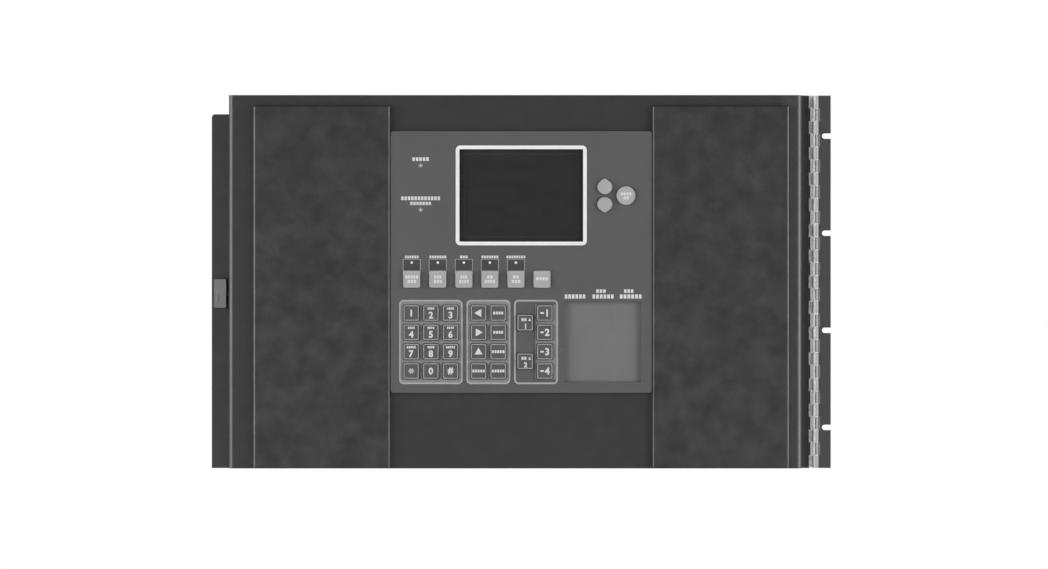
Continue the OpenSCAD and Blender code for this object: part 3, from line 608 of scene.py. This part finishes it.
def reach(names):
    """The rectangle that holds the caps of these keys."""
    caps = [cap(name) for name in names]
    return (min(c[0] for c in caps), min(c[1] for c in caps),
            max(c[2] for c in caps), max(c[3] for c in caps))


def soften(node, width, segments=2):
    """Rounds the sharp edges of a carried-over part and evens its shading."""
    weld = node.modifiers.new("weld", "WELD")
    weld.merge_threshold = 0.002 * MM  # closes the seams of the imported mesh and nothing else
    bevel = node.modifiers.new("edge_round", "BEVEL")
    bevel.width = width
    bevel.segments = segments
    bevel.limit_method = "ANGLE"
    bevel.angle_limit = math.radians(40)
    bevel.use_clamp_overlap = True
    normals = node.modifiers.new("even_shading", "WEIGHTED_NORMAL")
    normals.keep_sharp = False


def sink(node, depth):
    """Lowers a part's whole surface by the thickness of what lies on it."""
    lower = node.modifiers.new("ink_depth", "DISPLACE")
    lower.strength = -depth
    lower.mid_level = 0.0


# ---------------------------------------------------------------- operators


class ALARMDOOR_OT_finishes(bpy.types.Operator):
    """Makes the materials and gives each carried-over part the one its slot names"""

    bl_idname = "alarmdoor.finishes"
    bl_label = "Part finishes"

    def execute(self, context):
        FINISH.update(make_finishes(context.scene.door_colours))
        sizes = context.scene.door_sizes
        slots = {s["node"]: s["material_slot"] for s in frame["record"]["subparts"]}
        for name, node in frame["nodes"].items():
            node.data.materials.clear()
            finish = "door_leaf" if name == "hinge_door_leaf" else slots[name]
            node.data.materials.append(FINISH[finish])
        for name in ("door_pan", "left_blank_plate", "right_blank_plate",
                     "hinge_cabinet_leaf", "hinge_door_leaf", "rear_cover"):
            soften(frame["nodes"][name], sizes.sheet_round)
        for name in ("keypad_overlay", "status_lenses", "latch_slider", "latch_housing",
                     "terminal_blocks", "lcd_module"):
            soften(frame["nodes"][name], sizes.moulding_round)
        for name in KEYS:
            soften(frame["nodes"][name], sizes.edge_round)
            sink(frame["nodes"][name], KEY_SINK)
        sink(frame["nodes"]["rear_cover"], COVER_SINK)
        return {"FINISHED"}


class ALARMDOOR_OT_key_groups(bpy.types.Operator):
    """Prints the grounds and outlines of the three groups of keys"""

    bl_idname = "alarmdoor.key_groups"
    bl_label = "Key group prints"

    def execute(self, context):
        sizes = context.scene.door_sizes
        groups = {
            "digits": [k for k in KEYS if "digit" in k],
            "arrows": [k for k in KEYS if "arrow" in k or "command" in k or k == "key_edit"],
            "functions": [k for k in KEYS if "function" in k or "shift" in k],
        }
        _, low_z, _, high_z = reach(groups["digits"])
        pad_x, pad_z = 4.1 * MM, 5.05 * MM
        z0, z1 = low_z - pad_z, high_z + pad_z
        line, corner, ink = sizes.group_line, sizes.group_corner, sizes.ink_thickness
        gap, hole_corner = 0.45 * MM, 1.7 * MM  # the bare edge that the ground leaves round a key
        for group, keys in groups.items():
            x0, _, x1, _ = reach(keys)
            x0, x1 = x0 - pad_x, x1 + pad_x
            if group == "functions":
                # These keys sit a little to the left in their outline, and only their right
                # column has a light ground
                aside, margin = 1.05 * MM, 1.5 * MM
                x0, x1 = x0 + aside, x1 + aside
                ground_x0 = cap("key_function_1")[0] - margin
                keys = [k for k in keys if "shift" not in k]
                ground = bar((ground_x0 + x1 - line) / 2, (z0 + z1) / 2,
                             x1 - line - ground_x0, z1 - z0 - 2 * corner)
            else:
                ground = rounded(x0 + line, z0 + line, x1 - line, z1 - line, corner - line)
            outer = rounded(x0, z0, x1, z1, corner)
            inner = rounded(x0 + line, z0 + line, x1 - line, z1 - line, corner - line)
            print_on(f"group_outline_{group}", [[outer, inner]], OVERLAY_FRONT,
                     2 * ink, "door", "line_ink")
            holes = [rounded(a - gap, b - gap, c + gap, d + gap, hole_corner, 3)
                     for a, b, c, d in map(cap, keys)]
            print_on(f"group_ground_{group}", [[ground, *holes]], OVERLAY_FRONT, ink,
                     "door", "ground_ink")
        return {"FINISHED"}


DIGITS = {f"key_digit_{n}": str(n) for n in range(10)} | {"key_digit_hash": "#"}
# Widths of the marks that stand for words, in millimetres: one row, or two from the top
COMMAND_WIDTHS = {"key_edit": 12.6, "key_command_1": 10.5, "key_command_2": 10.2,
                  "key_command_3": 12.8, "key_command_4": 12.6}
STATUS_WIDTHS = ((13.0, 9.0), (7.5, 8.5), (7.0, 10.0), (6.0, 10.5), (6.5, 9.5), (12.0,))
LETTER_WIDTHS = {n: 9.2 if n in "79" else 7.0 for n in "23456789"}


class ALARMDOOR_OT_key_legends(bpy.types.Operator):
    """Prints a legend and an edge line on each key"""

    bl_idname = "alarmdoor.key_legends"
    bl_label = "Key legends"

    def digit(self, bm, key, x, z, front, ink, height):
        """A digit, low on its key where a row of letters stands over it, or a star."""
        if key == "key_digit_star":
            stroke = bar(x, z, 5.4 * MM, 1.1 * MM)
            stamp(bm, [[turned(stroke, x, z, turn)] for turn in (0, 60, 120)], front, ink)
            return
        letters = LETTER_WIDTHS.get(key[-1])
        digit_drop, letters_rise = 2.0 * MM, 4.4 * MM
        add_glyph(bm, DIGITS[key], x, z - (digit_drop if letters else 0), height, front, ink)
        if letters:
            stamp(bm, word(x, z + letters_rise, letters * MM, 2.2 * MM), front, ink)

    def arrow(self, x, z, turn):
        """A plain arrowhead that points up before it is turned."""
        r = 4.3 * MM
        shape = [(x - 0.9 * r, z - 0.62 * r), (x + 0.9 * r, z - 0.62 * r), (x, z + 0.95 * r)]
        return [[turned(shape, x, z, turn)]]

    def chevron(self, x, z, up):
        """A chevron that points up where up is 1 and down where it is -1."""
        half, foot, tip, stroke = 2.6 * MM, -1.4 * MM, 1.2 * MM, 0.9 * MM
        lower = [(x - half, z + up * foot), (x, z + up * tip), (x + half, z + up * foot)]
        return [[lower + [(px, pz + up * stroke) for px, pz in reversed(lower)]]]

    def rows(self, x, z, widths, height, rises):
        """Rows of marks, with widths and rises over z in millimetres."""
        return [loops for width, rise in zip(widths, rises)
                for loops in word(x, z + rise * MM, width * MM, height)]

    def legend(self, bm, key, front, sizes):
        """Draws what one key carries."""
        x, z = centre(key)
        ink = sizes.ink_thickness
        if "digit" in key:
            self.digit(bm, key, x, z, front, ink, sizes.digit_height)
        elif "arrow" in key:
            turn = {"left": 90, "right": -90, "up": 0}[key.rsplit("_", 1)[1]]
            stamp(bm, self.arrow(x, z, turn), front, ink)
        elif key in COMMAND_WIDTHS:
            stamp(bm, word(x, z, COMMAND_WIDTHS[key] * MM, 2.7 * MM), front, ink)
        elif "function" in key:
            dash_x, digit_x = x - 2.7 * MM, x + 2.3 * MM
            stamp(bm, [[bar(dash_x, z, 3.4 * MM, 1.7 * MM)]], front, ink)
            add_glyph(bm, key[-1], digit_x, z, 6.6 * MM, front, ink)
        elif "shift" in key:
            upper = z + 3.0 * MM
            half = 1.4 * MM  # of the small triangle, each way
            tri_x, tri_z = x + 4.4 * MM, z + 1.6 * MM
            triangle = [(tri_x - half, tri_z), (tri_x + half, tri_z), (tri_x, upper + 1.6 * MM)]
            stamp(bm, word(x - 1.2 * MM, upper, 5.6 * MM, 3.0 * MM), front, ink)
            stamp(bm, [[triangle]], front, ink)
            add_glyph(bm, key[-1], x + 0.4 * MM, z - 3.4 * MM, 4.8 * MM, front, ink)
        elif "status" in key:
            widths = STATUS_WIDTHS[int(key[-1]) - 1]
            rises = (2.2, -2.2) if len(widths) == 2 else (0.4,)
            stamp(bm, self.rows(x, z, widths, 3.1 * MM, rises), front, ink)
        elif key == "key_select":
            stamp(bm, self.rows(x, z, (11.0, 6.0), 2.8 * MM, (1.7, -2.2)), front, ink)
        else:
            stamp(bm, self.chevron(x, z, 1 if key.endswith("up") else -1), front, ink)

    def execute(self, context):
        sizes = context.scene.door_sizes
        ink, line, inset = sizes.ink_thickness, sizes.key_line, 0.45 * MM
        for key in KEYS:
            bm = bmesh.new()
            self.legend(bm, key, face(key) - ink, sizes)
            make_piece(bm, f"legend_{key[4:]}", key,
                       "line_ink" if "scroll" in key else "mark_ink")
            if "status" in key or "scroll" in key or "select" in key:
                continue
            a, b, c, d = cap(key)
            edges = [rounded(a + by, b + by, c - by, d - by, corner * MM, 4)
                     for by, corner in ((inset, 1.3), (inset + line, 0.8))]
            print_on(f"edge_line_{key[4:]}", [edges], face(key), ink, key, "line_ink")
        return {"FINISHED"}


class ALARMDOOR_OT_display(bpy.types.Operator):
    """Prints the white band round the display and the edge of the mask inside its window"""

    bl_idname = "alarmdoor.display"
    bl_label = "Display"

    def execute(self, context):
        sizes = context.scene.door_sizes
        low, high = BOX["display_window"]
        lap = 3 * MM  # the window reaches behind the overlay by this
        x0, z0, x1, z1 = low.x + lap, low.z + lap, high.x - lap, high.z - lap
        band, ink = sizes.display_frame, sizes.ink_thickness
        print_on("display_frame",
                 [[rounded(x0 - band, z0 - band, x1 + band, z1 + band, 4.5 * MM),
                   rounded(x0, z0, x1, z1, 0.6 * MM, 3)]],
                 OVERLAY_FRONT, 2 * ink, "door", "band_ink")
        # A line where the window's printed mask ends and the screen's active area begins
        border, line = 4.5 * MM, 0.35 * MM
        print_on("display_mask_line",
                 [[rounded(x0 + by, z0 + by, x1 - by, z1 - by, corner * MM, 3)
                   for by, corner in ((border, 1.0), (border + line, 0.8))]],
                 low.y, ink, "door", "lens_plastic")
        return {"FINISHED"}


class ALARMDOOR_OT_lamps(bpy.types.Operator):
    """Adds the lenses' outlines, the pale lamps and the marks over them"""

    bl_idname = "alarmdoor.lamps"
    bl_label = "Status lamps"

    def dome(self, name, x, z, radius):
        """A pale lamp that stands a little out of its dark lens."""
        lens_front = BOX["status_lenses"][0].y
        proud = 0.3 * MM
        print_on(name, [[circle(x, z, radius, 20)]], lens_front, proud, "door", "led_plastic")

    def execute(self, context):
        ink = context.scene.door_sizes.ink_thickness
        marks = []
        # Over each of five status keys: a lens with its outline, a lamp and marks for a word
        lens_rise, foot, line, out = 10.9 * MM, 3 * MM, 0.7 * MM, 0.45 * MM
        for i, width in enumerate((14, 17, 8, 17, 19), 1):
            x0, _, x1, z1 = cap(f"key_status_{i}")
            x, lens_top, low = (x0 + x1) / 2, z1 + lens_rise, z1 - foot
            left, right, top = x0 - out, x1 + out, lens_top + out
            arch = [(left, low), (left, top), (right, top), (right, low), (right - line, low),
                    (right - line, top - line), (left + line, top - line), (left + line, low)]
            print_on(f"lens_outline_{i}", [[arch]], OVERLAY_FRONT, 2 * ink, "door", "line_ink")
            self.dome(f"lens_lamp_{i}", x, lens_top - 3 * MM, 1.2 * MM)
            marks += word(x, lens_top + 2.6 * MM, width * MM, 2.6 * MM)
        # Two round lamps stand alone at the overlay's upper left
        lamp_x, bottom = OVERLAY_LOW.x + 29.65 * MM, OVERLAY_LOW.z
        for i, rise in enumerate((179.75, 223.35), 1):
            z = bottom + rise * MM
            ring = [circle(lamp_x, z, 2.1 * MM), circle(lamp_x, z, 1.6 * MM)]
            print_on(f"lamp_bezel_{i}", [ring], OVERLAY_FRONT, 0.15 * MM, "door", "line_ink")
            self.dome(f"round_lamp_{i}", lamp_x, z, 0.9 * MM)
        for rise, width, height in ((229.6, 17, 3.6), (191.1, 39, 3.6), (186.1, 21, 3.2)):
            marks += word(lamp_x, bottom + rise * MM, width * MM, height * MM)
        print_on("lamp_marks", marks, OVERLAY_FRONT, ink, "door", "mark_ink")
        return {"FINISHED"}


class ALARMDOOR_OT_label(bpy.types.Operator):
    """Prints the headings of the write-in card and its faint rules"""

    bl_idname = "alarmdoor.label"
    bl_label = "Write-in card"

    def execute(self, context):
        sizes = context.scene.door_sizes
        low, high = BOX["label_card"]
        lap = 1.5 * MM  # the card reaches behind the overlay by this
        x0, z0, x1, z1 = low.x + lap, low.z + lap, high.x - lap, high.z - lap
        wide, tall = x1 - x0, z1 - z0
        heading_z, second_rise, second_shift = z1 + 5.1 * MM, 5.3 * MM, -2 * MM
        headings = []
        for start, width, second in ((0.0, 21.1, False), (27.3, 21.7, True), (54.2, 22.3, True)):
            x = x0 + (start + width / 2) * MM
            headings += word(x, heading_z, width * MM, 4.0 * MM)
            if second:
                headings += word(x + second_shift, heading_z + second_rise, 10 * MM, 3.4 * MM)
        print_on("card_headings", headings, OVERLAY_FRONT, sizes.ink_thickness, "door", "mark_ink")
        # Four rows of three boxes to write in
        rows, columns, rule, margin = 4, 3, 0.35 * MM, 4 * MM
        rules = [[bar((x0 + x1) / 2, z0 + tall * i / rows, wide - margin, rule)]
                 for i in range(1, rows)]
        rules += [[bar(x0 + wide * i / columns, z0 + tall * (row + 0.5) / rows, rule,
                       tall / rows - rule)]
                  for i in range(1, columns) for row in range(rows)]
        print_on("card_rules", rules, low.y, 0.02 * MM, "door", "card_ink")
        return {"FINISHED"}


class ALARMDOOR_OT_knuckle_seams(bpy.types.Operator):
    """Draws a dark strip on each knuckle, where the rolled leaf meets itself: painted shade in
    place of the seam's crevice
    """

    bl_idname = "alarmdoor.knuckle_seams"
    bl_label = "Knuckle seams"

    def execute(self, context):
        bottom = BOX["hinge_cabinet_leaf"][0].z
        half, rise, root, gap, steps = 0.45 * MM, 0.04 * MM, 0.1 * MM, 0.6 * MM, 4
        for name, body, first, offset in (("door_knuckle_seams", "door", 0, -1.7 * MM),
                                          ("cabinet_knuckle_seams", "hinge", 1, 1.0 * MM)):
            bm = bmesh.new()
            for i in range(first, KNUCKLES, 2):
                z0 = bottom + i * KNUCKLE_PITCH + gap
                z1 = z0 + KNUCKLE_PITCH - 2 * gap
                rings = []
                for step in range(steps + 1):
                    across = 2 * step / steps - 1
                    x = offset + half * across
                    skin = BARREL_Y - math.sqrt(BARREL_R**2 - x**2)
                    bow = rise * (1 - across**2)
                    rings.append([(BARREL_X + x, y, z)
                                  for y, z in ((skin + root, z0), (skin - bow, z0),
                                               (skin - bow, z1), (skin + root, z1))])
                wind(bm, rings)
            # The dark strips are painted shade of the seams
            make_piece(bm, name, body, "oily_steel")
        return {"FINISHED"}


class ALARMDOOR_OT_latch_coil(bpy.types.Operator):
    """Winds the latch's spring with closed ends, in place of the carried-over one"""

    bl_idname = "alarmdoor.latch_coil"
    bl_label = "Latch spring"

    def execute(self, context):
        low, high = BOX["latch_spring"]
        wire, gap = 0.3 * MM, 0.02 * MM  # the wire's radius, and the air at each end
        per_turn, sides = 24, 10
        closed, active = 1, 5  # turns that lie on each other at each end, and open turns
        turns = active + 2 * closed
        radius = (high.z - low.z) / 2 - wire
        middle = (low + high) / 2
        first, last = low.x + gap + wire, high.x - gap - wire
        tight = 2.1 * wire  # the rise of a closed turn
        pitch = (last - first - 2 * closed * tight) / active
        rings = []
        for i in range(turns * per_turn + 1):
            turn = i / per_turn
            start, end = min(turn, closed), max(turn - closed - active, 0.0)
            x = first + tight * (start + end) + pitch * (turn - start - end)
            c, s = math.cos(2 * math.pi * turn), math.sin(2 * math.pi * turn)
            section = ((2 * math.pi * j / sides) for j in range(sides))
            rings.append([(x + wire * math.sin(a), middle.y + (radius + wire * math.cos(a)) * c,
                           middle.z + (radius + wire * math.cos(a)) * s) for a in section])
        bm = bmesh.new()
        wind(bm, rings)
        coil = make_piece(bm, "latch_coil", "door", "spring_steel", smooth=True)
        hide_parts("latch_spring")
        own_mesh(coil)
        return {"FINISHED"}


class ALARMDOOR_OT_threads(bpy.types.Operator):
    """Winds threads on the studs that stand behind the pan"""

    bl_idname = "alarmdoor.threads"
    bl_label = "Stud threads"

    def thread(self, name, x, z, y0, y1):
        """Winds one thread round a stud, from y0 to y1, that fades in and out over a turn."""
        pitch, depth, foot, sunk, per_turn = 0.7 * MM, 0.18 * MM, 0.3 * MM, 0.05 * MM, 16
        count = int((y1 - y0 - pitch) / pitch * per_turn)
        rings = []
        for i in range(count + 1):
            a = 2 * math.pi * i / per_turn
            y = y0 + pitch / 2 + pitch * i / per_turn
            fade = min(1.0, i / per_turn, (count - i) / per_turn)
            root, crest = STUD_R - sunk, STUD_R + depth * fade
            rings.append([(x + r * math.cos(a), y + dy, z + r * math.sin(a))
                          for r, dy in ((root, -foot), (crest, 0.0), (root, foot))])
        bm = bmesh.new()
        wind(bm, rings)
        make_piece(bm, name, "door", "zinc_fastener", smooth=True)

    def execute(self, context):
        low, high = BOX["rear_cover"]
        earth_stud, stud, nut, inset = 14 * MM, 6 * MM, 3.4 * MM, 6 * MM
        self.thread("earth_stud_thread", (low.x + high.x) / 2, EARTH_STUD_Z,
                    SHEET_BACK, SHEET_BACK + earth_stud)
        for side in ("left", "right"):
            low, high = BOX[f"{side}_blank_plate"]
            for i, x in enumerate((low.x + inset, high.x - inset)):
                for j, z in enumerate((low.z + inset, high.z - inset)):
                    self.thread(f"{side}_plate_thread_{2 * i + j + 1}", x, z,
                                SHEET_BACK + nut, SHEET_BACK + stud)
        return {"FINISHED"}


class ALARMDOOR_OT_rear_label(bpy.types.Operator):
    """Sticks a rating label on the rear cover, with bars in place of words, and an earth sign"""

    bl_idname = "alarmdoor.rear_label"
    bl_label = "Rear label"

    def stick(self, name, marks_name, outline, marks, back):
        """A sticker on a face that looks backwards, and the print on it."""
        paper, ink = 0.06 * MM, 0.03 * MM
        for piece, shapes, y, thickness, finish in (
            (name, [[outline]], back, paper, "sticker"),
            (marks_name, marks, back + paper, ink, "black_ink"),
        ):
            bm = bmesh.new()
            stamp(bm, shapes, y, thickness)
            make_piece(bm, piece, "door", finish)

    def execute(self, context):
        low, high = BOX["rear_cover"]
        x, z = (low.x + high.x) / 2, low.z + 62 * MM
        half_w, half_h, margin, first_row, row_pitch = (v * MM for v in (46, 23, 6, 8, 6))
        rows = []
        for row, share in enumerate((0.8, 0.55, 0.9, 0.7, 0.85, 0.5)):
            length = 2 * (half_w - margin) * share
            rows += word(x + half_w - margin - length / 2,
                         z + half_h - first_row - row_pitch * row, length, 2.2 * MM)
        outline = rounded(x - half_w, z - half_h, x + half_w, z + half_h, 2 * MM)
        self.stick("rear_label", "rear_label_marks", outline, rows, high.y - COVER_SINK)
        # The earth stud's sign: a line down to three bars, on a round sticker
        x, z, stroke = x + 16 * MM, EARTH_STUD_Z, 0.9 * MM
        sign = [[bar(x, z + 2.2 * MM, stroke, 4.4 * MM)]]
        sign += [[bar(x, z - down * MM, wide * MM, stroke)]
                 for down, wide in ((0.4, 8), (2.4, 5), (4.4, 2))]
        self.stick("earth_sticker", "earth_sign", circle(x, z, 7 * MM, 40), sign, SHEET_BACK)
        return {"FINISHED"}


class ALARMDOOR_OT_stage(bpy.types.Operator):
    """Sets the pale floor, the soft studio lights, the white surroundings and the camera"""

    bl_idname = "alarmdoor.stage"
    bl_label = "Stage"

    def light(self, name, at, aim, width, height, power):
        """A soft rectangular light in watts, turned to what it lights."""
        lamp = bpy.data.lights.new(name, "AREA")
        lamp.shape = "RECTANGLE"
        lamp.size, lamp.size_y, lamp.energy = width, height, power
        holder = bpy.data.objects.new(name, lamp)
        holder.location = at
        holder.rotation_euler = (Vector(aim) - Vector(at)).to_track_quat("-Z", "Y").to_euler()
        bpy.context.scene.collection.objects.link(holder)

    def floor(self, colour, middle):
        """Matte painted board, with a faint cloud from the roller."""
        made, tree = new_material("studio_floor", Metallic=0.0)
        cloud = blotch(tree, 0.4, detail=2)
        lay(made, cloud, shade(colour, 0.98), shade(colour), rough=(0.8, 0.9))
        half, below = 2.2, 0.27  # metres: half the board's side, and its distance under the door
        bm = bmesh.new()
        bmesh.ops.create_grid(bm, x_segments=4, y_segments=4, size=half)
        for vertex in bm.verts:
            vertex.co += Vector((middle.x, middle.y, CAD_BOUNDS[0][2] - below))
        mesh = bpy.data.meshes.new("floor")
        bm.to_mesh(mesh)
        bm.free()
        mesh.materials.append(made)
        floor = bpy.data.objects.new("floor", mesh)
        bpy.context.scene.collection.objects.link(floor)

    def surroundings(self):
        """White all round, which the camera sees but which lights the door only a little."""
        world = bpy.data.worlds.new("studio")
        world.use_nodes = True
        tree = world.node_tree
        tree.nodes.clear()
        glow, seen = (add(tree, "Background", {"Color": (1, 1, 1, 1), "Strength": power})
                      for power in (0.2, 1.0))
        ray = add(tree, "LightPath", output="Is Camera Ray")
        mixed = add(tree, "MixShader", {0: ray, 1: glow, 2: seen})
        end = tree.nodes.new("ShaderNodeOutputWorld")
        tree.links.new(mixed, end.inputs["Surface"])
        bpy.context.scene.world = world

    def execute(self, context):
        scene = context.scene
        middle = (Vector(CAD_BOUNDS[0]) + Vector(CAD_BOUNDS[1])) / 2
        self.floor(scene.door_colours.floor, middle)
        self.surroundings()
        # Each light's place from the door's middle and its size in metres, and its watts
        for name, at, width, height, power in (
            ("key_light", (1.8, -3.6, 2.8), 2.4, 1.8, 15),
            ("fill_light", (-2.6, -3.4, 1.2), 2.0, 2.0, 9),
            ("left_strip", (-1.7, -0.5, 0.0), 0.6, 1.7, 60),
            ("right_strip", (1.7, -0.5, 0.0), 0.6, 1.7, 60),
            ("rear_light", (0.8, 3.6, 2.6), 2.4, 1.8, 90),
        ):
            self.light(name, middle + Vector(at), middle, width, height, power)

        camera = bpy.data.objects.new("camera", bpy.data.cameras.new("camera"))
        scene.collection.objects.link(camera)
        distance, field = 8.0, 1.0323  # metres: from the door, and across the view at the door
        camera.data.sensor_width = 36  # millimetres
        camera.data.lens = camera.data.sensor_width * distance / field
        aim = middle + Vector((2.66 * MM, 0, -2.7 * MM))  # so the door stands just off centre
        camera.location = aim + Vector((0, -distance, 0))
        camera.rotation_euler = (math.pi / 2, 0, 0)
        camera.data.clip_end = 60  # metres
        scene.camera = camera
        scene.view_settings.view_transform = "Standard"
        scene.view_settings.look = "None"
        return {"FINISHED"}


OPERATORS = (
    ALARMDOOR_OT_finishes,
    ALARMDOOR_OT_key_groups,
    ALARMDOOR_OT_key_legends,
    ALARMDOOR_OT_display,
    ALARMDOOR_OT_lamps,
    ALARMDOOR_OT_label,
    ALARMDOOR_OT_knuckle_seams,
    ALARMDOOR_OT_latch_coil,
    ALARMDOOR_OT_threads,
    ALARMDOOR_OT_rear_label,
    ALARMDOOR_OT_stage,
)


class ALARMDOOR_PT_panel(bpy.types.Panel):
    bl_label = "Alarm Door"
    bl_idname = "ALARMDOOR_PT_panel"
    bl_space_type = "VIEW_3D"
    bl_region_type = "UI"
    bl_category = "Alarm Door"

    def draw(self, context):
        for group in (context.scene.door_sizes, context.scene.door_colours):
            box = self.layout.box()
            for name in group.__annotations__:
                box.prop(group, name)
        for operator in OPERATORS:
            self.layout.operator(operator.bl_idname)


CLASSES = (DoorSizes, DoorColours, *OPERATORS, ALARMDOOR_PT_panel)


def register():
    for cls in CLASSES:
        bpy.utils.register_class(cls)
    bpy.types.Scene.door_sizes = PointerProperty(type=DoorSizes)
    bpy.types.Scene.door_colours = PointerProperty(type=DoorColours)


def unregister():
    del bpy.types.Scene.door_colours
    del bpy.types.Scene.door_sizes
    for cls in reversed(CLASSES):
        bpy.utils.unregister_class(cls)


def main():
    register()
    for operator in OPERATORS:
        group, name = operator.bl_idname.split(".")
        getattr(getattr(bpy.ops, group), name)()


if __name__ == "__main__":
    main()
